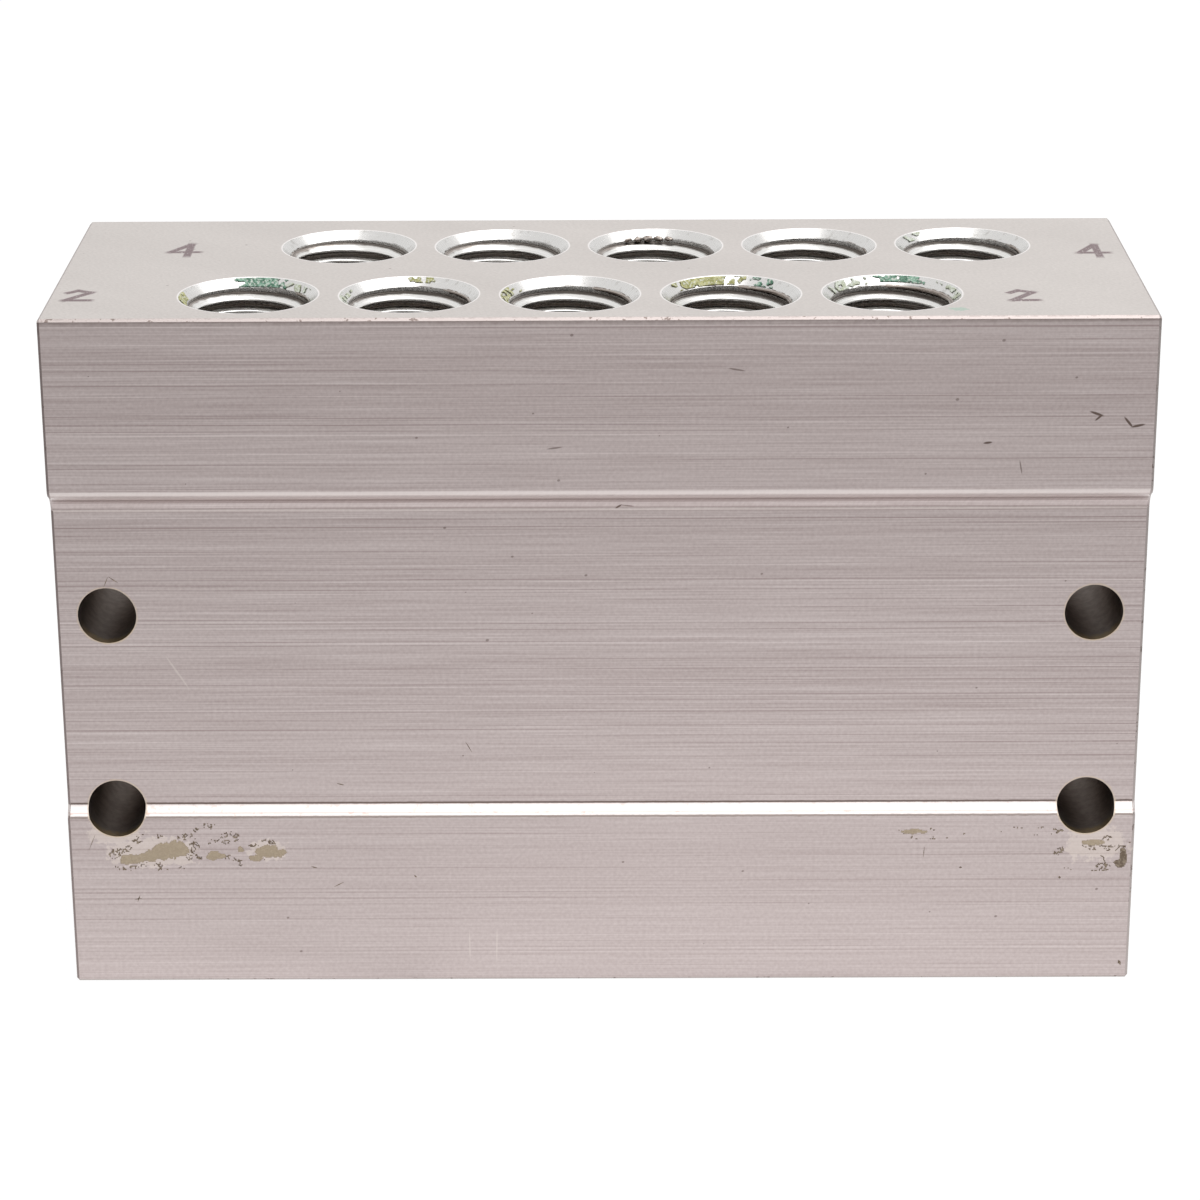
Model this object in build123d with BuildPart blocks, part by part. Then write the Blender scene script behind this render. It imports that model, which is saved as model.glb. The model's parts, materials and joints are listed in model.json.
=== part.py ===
"""Hydraulic manifold block: one piece of extruded aluminium, drilled and tapped for five valves.

The block stands on its bottom face. X runs along it, the front with the fixing holes looks
towards -Y, the valves go on the back, and the work ports open upwards. The origin is on the
bottom face, under the middle of the block. All sizes are in millimetres and degrees.
"""
import os

from build123d import *

# ---------------------------------------------------------------- driving dimensions

# Outer block
block_length = 123.0
block_depth = 44.5
block_height = 80.5
edge_break = 0.3

# Extruded section: the front steps back below the port zone and out again at the foot. The step
# is an S of two arcs, and bend_split is the upper arc's share of it
port_zone_bottom = 60.85
web_top = 57.5
web_setback = 2.2
bend_split = 0.4
ledge_top = 22.05
foot_top = 20.7
foot_setback = 1.25
corner_radius = 0.4

# Quarter-inch taper pipe ports: the bore has the thread's outer size, the mouth a 45 degree chamfer
port_diameter = 13.7
port_mouth_diameter = 15.65
port_depth = 13.0

# Work ports on the top face: row A behind, row B in front, one of each for every valve
stations = 5
station_pitch = 18.0
row_a_x = 6.6
row_a_y = 9.6
row_b_x = -3.25
row_b_y = -12.1
feed_diameter = 6.0

# Through holes for the screws that fix the block to a wall or frame
fixing_hole_diameter = 6.6
fixing_spacing_x = 111.6
fixing_spacing_z = 23.5
fixing_centre_z = 33.5

# Valve face on the back: five openings in a column and two tapped holes at each station
valve_hole_diameter = 4.5
valve_hole_pitch = 11.75
valve_stagger = 3.4
valve_screw_spacing = 58.0
valve_screw_drill = 2.5
valve_screw_depth = 8.0

# Galleries from end to end, at the size of the thread's tap drill: supply in the middle, an
# exhaust above and one below
gallery_diameter = 11.1
gallery_y = -1.25

# ---------------------------------------------------------------- derived places

supply_z = fixing_centre_z
gallery_heights = [supply_z - 2 * valve_hole_pitch, supply_z, supply_z + 2 * valve_hole_pitch]
valve_a_z = supply_z + valve_hole_pitch
valve_b_z = supply_z - valve_hole_pitch

front_y = -block_depth / 2
back_y = block_depth / 2
web_y = front_y + web_setback
foot_y = front_y + foot_setback
bend_y = front_y + bend_split * web_setback
bend_z = port_zone_bottom - bend_split * (port_zone_bottom - web_top)

feed_a_depth = block_height - valve_a_z + feed_diameter / 2
feed_b_depth = block_height - valve_b_z + feed_diameter / 2

top_face = Plane.top.offset(block_height)
front_face = Plane.front.offset(block_depth / 2)
back_face = Plane.back.offset(block_depth / 2)
right_end = Plane.right.offset(block_length / 2)
left_end = Plane.left.offset(block_length / 2)


def pipe_port():
    """Cut a chamfered port bore at each current place."""
    CounterSinkHole(port_diameter / 2, port_mouth_diameter / 2, port_depth, counter_sink_angle=90)


# ---------------------------------------------------------------- manifold block

with BuildPart() as manifold_block:
    # Extruded bar: flat back, proud port zone, set-back web and a foot with a sloping ledge
    with BuildSketch(Plane.YZ.offset(-block_length / 2)):
        with BuildLine():
            outline = Polyline(
                (web_y, web_top),
                (web_y, ledge_top),
                (foot_y, foot_top),
                (foot_y, 0),
                (back_y, 0),
                (back_y, block_height),
                (front_y, block_height),
                (front_y, port_zone_bottom),
            )
            upper_bend = TangentArc((front_y, port_zone_bottom), (bend_y, bend_z), tangent=(0, -1))
            lower_bend = TangentArc((web_y, web_top), (bend_y, bend_z), tangent=(0, 1))
        make_face()
    extrude(amount=block_length)
    fillet(edges().filter_by(Axis.X).group_by(Axis.Z)[0], corner_radius)
    chamfer(edges().filter_by(Axis.X).group_by(Axis.Z)[-1], edge_break)
    chamfer(edges().group_by(Axis.X)[0], edge_break)
    chamfer(edges().group_by(Axis.X)[-1], edge_break)

    # Fixing holes, right through from the front
    with Locations(front_face):
        with Locations((0, fixing_centre_z)):
            with GridLocations(fixing_spacing_x, fixing_spacing_z, 2, 2):
                Hole(fixing_hole_diameter / 2)

    # Galleries from end to end, tapped at both ends
    with Locations(right_end):
        with Locations(*[(gallery_y, height) for height in gallery_heights]):
            Hole(gallery_diameter / 2, block_length)
            pipe_port()
    with Locations(left_end):
        with Locations(*[(-gallery_y, height) for height in gallery_heights]):
            pipe_port()

    # Work ports, each with a feed drilled on down to the level of its valve opening
    with Locations(top_face):
        with Locations((row_a_x, row_a_y)):
            with GridLocations(station_pitch, 0, stations, 1):
                pipe_port()
                Hole(feed_diameter / 2, feed_a_depth)
        with Locations((row_b_x, row_b_y)):
            with GridLocations(station_pitch, 0, stations, 1):
                pipe_port()
                Hole(feed_diameter / 2, feed_b_depth)

    # Valve stations: exhaust, supply and exhaust openings run to the galleries, A and B to the feeds
    with Locations(back_face):
        with Locations(*[(0, height) for height in gallery_heights]):
            with GridLocations(station_pitch, 0, stations, 1):
                Hole(valve_hole_diameter / 2, back_y - gallery_y)
        with Locations((-valve_stagger, valve_a_z)):
            with GridLocations(station_pitch, 0, stations, 1):
                Hole(valve_hole_diameter / 2, back_y - row_a_y)
        with Locations((valve_stagger, valve_b_z)):
            with GridLocations(station_pitch, 0, stations, 1):
                Hole(valve_hole_diameter / 2, back_y - row_b_y)
        with Locations((0, supply_z)):
            with GridLocations(station_pitch, valve_screw_spacing, stations, 2):
                Hole(valve_screw_drill / 2, valve_screw_depth)

manifold_block.part.label = "manifold_block"

os.makedirs("parts", exist_ok=True)
export_step(manifold_block.part, "parts/manifold_block.step")
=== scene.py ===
"""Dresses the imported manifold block: anodised skin, pipe threads, stamped numbers and old sealant.

Sizes and places are in millimetres, and go to metres where a piece is finished. Patterns are
procedural and fixed, with no random draws.
"""
import json
import math

import bmesh
import bpy
from mathutils import Matrix, Vector, noise


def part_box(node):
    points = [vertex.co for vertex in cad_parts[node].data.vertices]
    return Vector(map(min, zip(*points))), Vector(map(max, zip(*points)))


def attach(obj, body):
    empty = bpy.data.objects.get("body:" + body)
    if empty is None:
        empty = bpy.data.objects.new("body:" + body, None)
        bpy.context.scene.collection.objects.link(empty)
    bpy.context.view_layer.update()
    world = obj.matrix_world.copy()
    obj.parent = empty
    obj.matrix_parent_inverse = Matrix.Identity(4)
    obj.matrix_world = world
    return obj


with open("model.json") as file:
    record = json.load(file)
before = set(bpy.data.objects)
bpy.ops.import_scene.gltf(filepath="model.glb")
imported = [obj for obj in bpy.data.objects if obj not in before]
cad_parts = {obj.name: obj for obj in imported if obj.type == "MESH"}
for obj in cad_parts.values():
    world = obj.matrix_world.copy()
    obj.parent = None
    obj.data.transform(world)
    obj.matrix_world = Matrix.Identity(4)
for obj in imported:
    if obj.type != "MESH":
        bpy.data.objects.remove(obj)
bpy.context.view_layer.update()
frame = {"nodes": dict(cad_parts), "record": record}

# A millimetre in metres, and a micrometre in millimetres
MM = 0.001
MICROMETRE = 0.001
BLOCK = "manifold_block"

# ---------------------------------------------------------------- sizes read from the frame, in mm

box_low, box_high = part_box(BLOCK)
HALF_LENGTH = box_high.x / MM
FRONT = box_low.y / MM
BACK = box_high.y / MM
TOP = box_high.z / MM

mounts = {mount["name"]: mount for mount in frame["record"]["mounts"]}


def mount_place(name):
    """Where a mount lies, in millimetres."""
    return Vector(mounts[name]["pos_m"]) / MM


ROW_A = mount_place("work_port_a3")
ROW_B = mount_place("work_port_b3")
PITCH = mount_place("work_port_a4").x - ROW_A.x
GALLERY = mount_place("supply_right")
GALLERY_PITCH = mount_place("upper_exhaust_right").z - GALLERY.z
FIXING = mount_place("fixing_holes")
FIXING_X = mounts["fixing_holes"]["dims"]["spacing_x_mm"] / 2
FIXING_Z = mounts["fixing_holes"]["dims"]["spacing_y_mm"] / 2
FIXING_RADIUS = mounts["fixing_holes"]["dims"]["hole_r_mm"]
BORE_RADIUS = mounts["work_port_a1"]["dims"]["r_mm"]

# Tapped ports: the mouth's chamfer, the depth of the bore, and the depth down to which its wall counts
CHAMFER = 0.975
MOUTH_RADIUS = BORE_RADIUS + CHAMFER
PORT_DEPTH = 13.0
WALL_END = PORT_DEPTH + 0.1

# Extruded front: heights and depths of its steps, and the broken edges
PORT_ZONE_BOTTOM = 60.85
WEB_TOP = 57.5
WEB_SETBACK = 2.2
LEDGE_TOP = 22.05
FOOT_TOP = 20.7
FOOT_SETBACK = 1.25
EDGE_BREAK = 0.3

# How far under the skin, and under the front, a point still counts as lying on it
SKIN_DEPTH = EDGE_BREAK + 0.15
FRONT_DEPTH = 0.25

# Thread: 18 turns to the inch, 60 degree ridges, with a plain run-out at the bottom. The ridges lie
# a share of a turn higher than whole turns would, and each thread is turned on from the one before
THREAD_PITCH = 25.4 / 18
THREAD_DEPTH = 1.12
RUN_OUT = 1.1
STEPS_PER_TURN = 60
START_LEVEL = 0.13
START_TURN = 0.22

# The face mill's arcs run around this point
CUTTER_SWEEP = (20.0, 60.0, 300.0)

# Slack for telling faces apart by place, a distance that means nothing is near, and a share of a
# stroke's size that lies well outside it
SLACK = 0.02
FAR_AWAY = 100.0
WELL_OUTSIDE = 9.0

# Thin films on the surface: how thick they are, and how far a scratch's sliver stands off
FILM_THICKNESS = 0.02
SLIVER_LIFT = 0.025
SCRAP_THICKNESS = 0.04


# ---------------------------------------------------------------- wiring helpers

class Graph:
    """A node tree being wired; the methods add nodes and return what these put out."""

    def __init__(self, tree):
        self.tree = tree

    def add(self, kind, **settings):
        node = self.tree.nodes.new("ShaderNode" + kind)
        for name, value in settings.items():
            setattr(node, name, value)
        return node

    def feed(self, socket, value):
        """Links an output to a socket, or sets the socket to a plain value."""
        if isinstance(value, bpy.types.NodeSocket):
            self.tree.links.new(value, socket)
        elif value is not None:
            socket.default_value = value

    def math(self, operation, *values):
        node = self.add("Math", operation=operation)
        for socket, value in zip(node.inputs, values):
            self.feed(socket, value)
        return node.outputs[0]

    def vector(self, operation, *values):
        node = self.add("VectorMath", operation=operation)
        for socket, value in zip(node.inputs, values):
            self.feed(socket, value)
        scalar = operation in ("LENGTH", "DISTANCE", "DOT_PRODUCT")
        return node.outputs["Value" if scalar else "Vector"]

    def split(self, vector):
        node = self.add("SeparateXYZ")
        self.feed(node.inputs[0], vector)
        return node.outputs[0], node.outputs[1], node.outputs[2]

    def join(self, x, y, z=0.0):
        node = self.add("CombineXYZ")
        for socket, value in zip(node.inputs, (x, y, z)):
            self.feed(socket, value)
        return node.outputs[0]

    def clamp(self, value):
        return self.math("MAXIMUM", self.math("MINIMUM", value, 1.0), 0.0)

    def ramp(self, value, low, high, start=0.0, end=1.0):
        """Goes softly from start to end while value goes from low to high."""
        node = self.add("MapRange", interpolation_type="SMOOTHSTEP", clamp=False)
        for socket, number in zip(node.inputs, (value, low, high, start, end)):
            self.feed(socket, number)
        return node.outputs[0]

    def noise(self, vector, scale, detail, roughness=0.5, dimensions="3D"):
        node = self.add("TexNoise", noise_dimensions=dimensions)
        self.feed(node.inputs["Vector"], vector)
        self.feed(node.inputs["Scale"], scale)
        self.feed(node.inputs["Detail"], detail)
        self.feed(node.inputs["Roughness"], roughness)
        return node.outputs["Fac"]

    def blend(self, factor, first, second):
        """Mixes two values."""
        node = self.add("Mix", data_type="FLOAT")
        for index, value in ((0, factor), (2, first), (3, second)):
            self.feed(node.inputs[index], value)
        return node.outputs[0]

    def mix_points(self, factor, first, second):
        node = self.add("Mix", data_type="VECTOR")
        for index, value in ((0, factor), (4, first), (5, second)):
            self.feed(node.inputs[index], value)
        return node.outputs[1]

    def tint(self, factor, first, second):
        """Mixes two colours."""
        node = self.add("Mix", data_type="RGBA")
        for index, value in ((0, factor), (6, first), (7, second)):
            self.feed(node.inputs[index], value)
        return node.outputs[2]

    def largest(self, *values):
        result = values[0]
        for value in values[1:]:
            result = self.math("MAXIMUM", result, value)
        return result

    def smallest(self, *values):
        result = values[0]
        for value in values[1:]:
            result = self.math("MINIMUM", result, value)
        return result

    def place(self, tree, **values):
        """Places a shared group and sets its inputs; underscores stand for spaces in their names."""
        node = self.add("Group", node_tree=tree)
        for name, value in values.items():
            self.feed(node.inputs[name.replace("_", " ").capitalize()], value)
        return node.outputs

    def point(self):
        """The object's own coordinates, in millimetres."""
        coordinates = self.add("TexCoord").outputs["Object"]
        return self.vector("MULTIPLY", coordinates, (1 / MM, 1 / MM, 1 / MM))


VALUE = "NodeSocketFloat"
POINT = "NodeSocketVector"


def shared_group(name, inputs, outputs, wire):
    """Builds a node group: inputs are (name, kind, default), wire returns its outputs in order."""
    tree = bpy.data.node_groups.new(name, "ShaderNodeTree")
    for label, kind, default in inputs:
        socket = tree.interface.new_socket(label, in_out="INPUT", socket_type=kind)
        socket.default_value = default
    for label, kind in outputs:
        tree.interface.new_socket(label, in_out="OUTPUT", socket_type=kind)
    graph = Graph(tree)
    entry = tree.nodes.new("NodeGroupInput")
    results = wire(graph, *[entry.outputs[label] for label, _, _ in inputs])
    leave = tree.nodes.new("NodeGroupOutput")
    for socket, value in zip(leave.inputs, results):
        graph.feed(socket, value)
    return tree


# ---------------------------------------------------------------- shared effects

def wire_round_holes(g, point, centre, pitch, reach):
    """Distance from the axis of the nearest hole in a row along X, with reach holes on each side."""
    along, across, _ = g.split(g.vector("SUBTRACT", point, centre))
    number = g.math("ROUND", g.math("DIVIDE", along, pitch))
    number = g.math("MAXIMUM", g.math("MINIMUM", number, reach), g.math("MULTIPLY", reach, -1.0))
    local = g.math("SUBTRACT", along, g.math("MULTIPLY", number, pitch))
    return [g.vector("LENGTH", g.join(local, across))]


round_holes = shared_group(
    "Round holes in a row",
    [("Point", POINT, (0, 0, 0)), ("Centre", POINT, (0, 0, 0)), ("Pitch", VALUE, 1.0),
     ("Reach", VALUE, 2.0)],
    [("Distance", VALUE)],
    wire_round_holes,
)


def wire_port_walls(g, point):
    """Radius from the nearest port's axis, and depth below that port's mouth."""
    x, y, z = g.split(point)
    top_depth = g.math("SUBTRACT", TOP, z)
    end_depth = g.math("SUBTRACT", HALF_LENGTH, g.math("ABSOLUTE", x))
    row_a = g.place(round_holes, point=point, centre=ROW_A, pitch=PITCH)[0]
    row_b = g.place(round_holes, point=point, centre=ROW_B, pitch=PITCH)[0]
    gallery = g.place(round_holes, point=g.join(z, y, 0.0), centre=(GALLERY.z, GALLERY.y, 0.0),
                      pitch=GALLERY_PITCH, reach=1.0)[0]
    too_low = g.math("GREATER_THAN", top_depth, WALL_END)
    too_deep = g.math("GREATER_THAN", end_depth, WALL_END)
    top_radius = g.math("MULTIPLY_ADD", too_low, FAR_AWAY, g.smallest(row_a, row_b))
    end_radius = g.math("MULTIPLY_ADD", too_deep, FAR_AWAY, gallery)
    at_end = g.math("LESS_THAN", end_radius, top_radius)
    return g.smallest(top_radius, end_radius), g.blend(at_end, top_depth, end_depth)


port_walls = shared_group(
    "Port walls",
    [("Point", POINT, (0, 0, 0))],
    [("Radius", VALUE), ("Depth", VALUE)],
    wire_port_walls,
)


def wire_blot(g, point, centre, size, ripple):
    """One inside an oval whose outline is moved by the ripple."""
    offset = g.vector("DIVIDE", g.vector("SUBTRACT", point, centre), size)
    reach = g.math("ADD", g.vector("LENGTH", offset), ripple)
    return [g.ramp(reach, 0.85, 1.05, 1.0, 0.0)]


blot = shared_group(
    "Blot",
    [("Point", POINT, (0, 0, 0)), ("Centre", POINT, (0, 0, 0)), ("Size", POINT, (1, 1, 1)),
     ("Ripple", VALUE, 0.0)],
    [("Mask", VALUE)],
    wire_blot,
)


def wire_scattered(g, point, spacing, size, share, turn, stretch):
    """Sparse dots in a share of the cells, drawn out along the turned direction by the stretch."""
    x, y, z = g.split(point)
    cosine = g.math("COSINE", turn)
    sine = g.math("SINE", turn)
    flat = g.math("ADD", z, y)
    along = g.math("ADD", g.math("MULTIPLY", x, cosine), g.math("MULTIPLY", flat, sine))
    across = g.math("SUBTRACT", g.math("MULTIPLY", flat, cosine), g.math("MULTIPLY", x, sine))
    along = g.math("DIVIDE", along, g.math("MULTIPLY", spacing, stretch))
    across = g.math("DIVIDE", across, spacing)
    cells = g.add("TexVoronoi", feature="F1", voronoi_dimensions="2D")
    g.feed(cells.inputs["Vector"], g.join(along, across))
    cells.inputs["Scale"].default_value = 1.0
    chance, vigour, _ = g.split(cells.outputs["Color"])
    kept = g.math("LESS_THAN", chance, share)
    limit = g.math("MULTIPLY", g.math("DIVIDE", size, spacing), g.math("ADD", vigour, 0.35))
    dot = g.ramp(cells.outputs["Distance"], g.math("MULTIPLY", limit, 0.5), limit, 1.0, 0.0)
    return [g.math("MULTIPLY", dot, kept)]


scattered = shared_group(
    "Scattered marks",
    [("Point", POINT, (0, 0, 0)), ("Spacing", VALUE, 4.0), ("Size", VALUE, 0.15), ("Share", VALUE, 0.5),
     ("Turn", VALUE, 0.0), ("Stretch", VALUE, 1.0)],
    [("Mask", VALUE)],
    wire_scattered,
)


def wire_finish(g, point, is_milled):
    """Die lines on drawn faces, a satin cutter finish on milled ones.

    The tone lies around 0.5, the height is in micrometres.
    """
    x, y, z = g.split(point)
    girth = g.math("SUBTRACT", z, y)
    across = g.math("ADD", z, y)
    slant = g.math("MULTIPLY_ADD", y, 0.7, x)
    arc = g.vector("DISTANCE", point, CUTTER_SWEEP)

    def lines(length, width, seed, detail, milled_scale):
        """Long thin cells on drawn faces, even ones on milled faces."""
        drawn = g.join(g.math("MULTIPLY", x, 1 / length), g.math("MULTIPLY_ADD", girth, 1 / width, seed))
        cut = g.join(g.math("MULTIPLY", slant, milled_scale), g.math("MULTIPLY", across, milled_scale))
        return g.noise(g.mix_points(is_milled, drawn, cut), 1.0, detail, 0.55, "2D")

    def swing(value, amount):
        return g.math("MULTIPLY", g.math("SUBTRACT", value, 0.5), amount)

    medium = lines(length=90.0, width=0.50, seed=11.0, detail=2.0, milled_scale=0.06)
    fine = lines(length=16.0, width=0.16, seed=23.0, detail=1.0, milled_scale=3.2)
    grain = g.noise(g.join(slant, across), 2.4, 2.0, 0.6, "2D")
    streak_point = g.join(g.math("MULTIPLY", x, 1 / 260.0), g.math("MULTIPLY", girth, 1 / 0.24))
    arc_point = g.join(g.math("MULTIPLY", arc, 2.6), 0.0)
    streak = g.noise(g.mix_points(is_milled, streak_point, arc_point), 1.0, 1.0, 0.5, "2D")
    wobble = g.math("SINE", g.math("MULTIPLY", girth, 0.83))
    band = g.math("SINE", g.math("MULTIPLY_ADD", girth, 0.31, wobble))
    tone = g.math("ADD", swing(medium, 0.42), swing(fine, 0.70))
    drawn = g.math("SUBTRACT", tone, g.ramp(streak, 0.64, 0.72, 0.0, 0.50))
    drawn = g.math("ADD", drawn, g.ramp(streak, 0.28, 0.36, 0.30, 0.0))
    drawn = g.math("MULTIPLY_ADD", band, 0.05, drawn)
    drawn = g.math("MULTIPLY", drawn, g.ramp(z, 8.0, 40.0, 0.55, 1.0))
    tone = g.blend(is_milled, drawn, g.math("ADD", tone, swing(streak, 0.12)))
    tone = g.math("ADD", g.math("ADD", 0.5, tone), swing(grain, 0.45))
    return tone, g.math("MULTIPLY", fine, 7.0)


finish = shared_group(
    "Drawn or milled finish",
    [("Point", POINT, (0, 0, 0)), ("Is milled", VALUE, 0.0)],
    [("Tone", VALUE), ("Height", VALUE)],
    wire_finish,
)


def wire_block_skin(g, point):
    """Distance along the skin to the nearest outer edge, depth under the skin, and under the front."""
    x, y, z = g.split(point)
    web = g.ramp(z, WEB_TOP, PORT_ZONE_BOTTOM, WEB_SETBACK, 0.0)
    climb = g.clamp(g.math("DIVIDE", g.math("SUBTRACT", LEDGE_TOP, z), LEDGE_TOP - FOOT_TOP))
    foot = g.math("MULTIPLY", climb, WEB_SETBACK - FOOT_SETBACK)
    front = g.math("SUBTRACT", g.math("SUBTRACT", y, FRONT), g.math("SUBTRACT", web, foot))
    end = g.math("SUBTRACT", HALF_LENGTH, g.math("ABSOLUTE", x))
    side = g.smallest(front, g.math("SUBTRACT", BACK, y))
    level = g.smallest(z, g.math("SUBTRACT", TOP, z))
    total = g.math("ADD", g.math("ADD", end, side), level)
    edge = g.math("SUBTRACT", total, g.largest(end, side, level))
    return edge, g.smallest(end, side, level), front


block_skin = shared_group(
    "Block skin",
    [("Point", POINT, (0, 0, 0))],
    [("Edge", VALUE), ("Depth", VALUE), ("Front", VALUE)],
    wire_block_skin,
)


# ---------------------------------------------------------------- colours, as linear values

def shade(red, green, blue):
    """A display colour from 0 to 255 as linear RGBA."""
    def linear(level):
        level /= 255
        return level / 12.92 if level <= 0.04045 else ((level + 0.055) / 1.055) ** 2.4
    return linear(red), linear(green), linear(blue), 1.0


SKIN_DARK = shade(168, 153, 151)
SKIN_LIGHT = shade(214, 203, 201)
MILLED_DARK = shade(192, 186, 182)
MILLED_LIGHT = shade(216, 210, 206)
# Painted highlight on the upward-facing ledge, duller in patches
LEDGE_HIGHLIGHT = shade(240, 234, 231)
DULL_LEDGE_HIGHLIGHT = shade(226, 214, 208)
# Dark grime on nicks, scratches and dots, also used as painted shade in the creases and corners along the
# front
DIRT_AND_SHADE = shade(96, 80, 72)
# Stamped numbers, drawn only in colour: painted shade of the recesses, with grime
STAMP = shade(122, 102, 106)

# Broken edges, with painted shade down the left one, and a painted highlight on the lip around each port
BARE_EDGE = shade(176, 166, 163)
SHADED_LEFT_EDGE = shade(118, 104, 102)
TOP_EDGE = shade(150, 140, 137)
LIP_HIGHLIGHT = shade(252, 250, 249)

# Stains on the skin
# Pale stain on the scuffs, also used as a painted highlight below the crease under the bend
PALE_STAIN_AND_HIGHLIGHT = shade(218, 209, 203)
HALO = shade(228, 216, 206)
SMEAR = shade(160, 196, 178)

# Turned mouths, with grime and painted shade deeper down; drilled walls, with residue and a bright rim
TURNED_DARK = shade(204, 202, 200)
TURNED_LIGHT = shade(220, 219, 217)
GRIME = shade(140, 134, 126)
SHADED_DEEP_WALL = shade(104, 96, 90)
DRILLED_DARK = shade(156, 146, 139)
DRILLED_LIGHT = shade(176, 166, 160)
HOLE_RESIDUE = shade(214, 192, 150)
HOLE_RIM = shade(206, 190, 172)

# Thread crests, and the painted shade in the grooves near the mouth, lighter further down
CREST_DARK = shade(212, 210, 207)
CREST_LIGHT = shade(240, 239, 237)
GROOVE_SHADE_DARK = shade(112, 102, 96)
GROOVE_SHADE_LIGHT = shade(172, 163, 156)
DEEP_GROOVE_SHADE_DARK = shade(164, 146, 132)
DEEP_GROOVE_SHADE_LIGHT = shade(236, 228, 220)

# Painted highlights on the dried sealant
SEALANT_GLINT = shade(236, 238, 230)

# ---------------------------------------------------------------- marks on the block, in mm

# Painted highlights and painted shade in lines along the bend on the front: height, width, strength, colour
BEND_HIGHLIGHTS_AND_SHADE = [
    (60.35, 0.42, 0.60, shade(232, 224, 221)),
    (59.25, 0.85, 0.90, shade(255, 249, 247)),
    (57.93, 0.17, 0.26, DIRT_AND_SHADE),
    (57.72, 0.16, 0.30, PALE_STAIN_AND_HIGHLIGHT),
]
# Lines along the ledge: painted shade with some dirt in the inner corner above it, painted shade where the
# foot's rounded edge reflects dark, and a reddish line: height, width, strength, colour
LEDGE_LINES = [
    (LEDGE_TOP + 0.13, 0.17, 0.85, DIRT_AND_SHADE),
    (FOOT_TOP + 0.10, 0.17, 0.75, DIRT_AND_SHADE),
    (21.20, 0.12, 0.40, shade(200, 150, 140)),
]

# Dark scratches on the port zone and the bend, deep and faint: start x, z; end x, z; width
DEEP_SCRATCHES = [
    (54.1, 69.6, 55.5, 69.1, 0.34), (55.4, 69.2, 54.7, 68.6, 0.28), (57.9, 68.9, 58.8, 67.8, 0.32),
    (58.7, 67.8, 60.1, 68.1, 0.34), (42.5, 66.0, 43.3, 66.1, 0.30), (1.8, 57.9, 2.4, 58.3, 0.26),
]
FAINT_SCRATCHES = [
    (14.2, 74.7, 16.0, 74.4, 0.24), (-5.8, 65.5, -4.2, 65.7, 0.24), (46.5, 64.0, 46.8, 62.4, 0.20),
    (2.2, 58.3, 3.8, 58.1, 0.20),
]

# Dark scratches on the web and the foot, where thin geometry lies inside the block's box
LOW_SCRATCHES = [
    (-56.0, 48.7, -55.5, 49.9, 0.10), (-55.4, 49.9, -54.4, 49.2, 0.10), (-15.5, 29.7, -14.8, 28.4, 0.09),
    (-33.6, 14.6, -32.9, 14.4, 0.13), (37.3, 16.8, 37.2, 15.5, 0.08), (41.4, 14.2, 41.7, 14.2, 0.20),
    (52.9, 12.9, 53.2, 12.9, 0.30), (-21.7, 13.4, -21.4, 13.2, 0.18), (60.35, 2.3, 60.6, 1.7, 0.36),
    (-58.4, 18.7, -59.2, 16.8, 0.08), (-31.0, 12.0, -29.9, 12.6, 0.10), (-30.4, 24.6, -29.6, 24.4, 0.12),
    (-53.6, 11.0, -53.9, 10.2, 0.16), (-54.2, 10.5, -53.4, 10.6, 0.10),
]

# Pale scratches on the front: start x, z; end x, z; width
PALE_SCRATCHES = [
    (-49.5, 40.5, -46.8, 36.2, 0.26), (-15.4, 6.4, -15.4, 2.4, 0.17), (-12.2, 6.6, -12.3, 2.2, 0.17),
]

# Stamped numbers on the top: width of a stroke, strokes from the number's middle, where each stands
DIGIT_WIDTH = 0.92
FOUR = [(0.6, -2.7, 0.6, 2.8), (0.6, 2.8, -1.5, -0.9), (-1.5, -0.9, 1.7, -0.9)]
TWO = [(-1.3, 1.2, -0.3, 2.1), (-0.3, 2.1, 1.2, 1.3), (1.2, 1.3, -1.3, -2.0), (-1.3, -2.0, 1.4, -2.0)]
FOUR_PLACES = [(-48.6, 8.0), (57.4, 6.2)]
TWO_PLACES = [(-58.2, -12.2), (47.2, -13.6)]

# Old thread sealant smeared on the top face: centre x, y; half width, half depth
SMEARS = [(39.6, -19.2, 1.2, 0.8), (-43.6, -12.0, 0.9, 1.6)]

# Residue on the foot: centre x, z; half width, half height
RESIDUE = [
    (-54.2, 15.55, 1.5, 0.62), (-52.4, 15.9, 1.3, 0.62), (-50.4, 16.6, 1.7, 1.05), (-49.0, 16.9, 1.3, 1.0),
    (-44.6, 16.0, 1.0, 0.55), (-38.6, 16.5, 1.3, 0.8), (-37.6, 16.3, 1.1, 0.55), (-39.9, 15.7, 0.8, 0.4),
    (-41.7, 16.8, 0.35, 0.35), (36.0, 18.75, 1.5, 0.28), (56.8, 17.3, 1.3, 0.35),
]

# Pale stained skin around it: centre x, z; half width, half height
HALOS = [(-51.6, 16.4, 5.4, 2.0), (-38.6, 16.6, 2.2, 1.4), (57.0, 17.2, 3.6, 2.2), (-56.2, 18.9, 3.4, 1.4)]

# Rings of brown specks around it: centre x, z; half width, half height
SPECK_RINGS = [
    (-51.8, 16.2, 5.0, 2.1), (-45.0, 18.6, 2.6, 1.2), (-43.2, 15.2, 1.4, 0.9), (-38.6, 16.8, 1.9, 1.1),
    (37.6, 18.5, 3.6, 0.6), (49.6, 18.8, 3.6, 0.5), (55.8, 15.4, 3.6, 1.6), (59.2, 17.4, 1.6, 1.2),
]

# Brown stain at the right end of the foot: centre x, z; half width, half height
STAIN = [(60.3, 15.6, 0.45, 0.9), (60.0, 14.7, 0.7, 0.5)]

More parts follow.
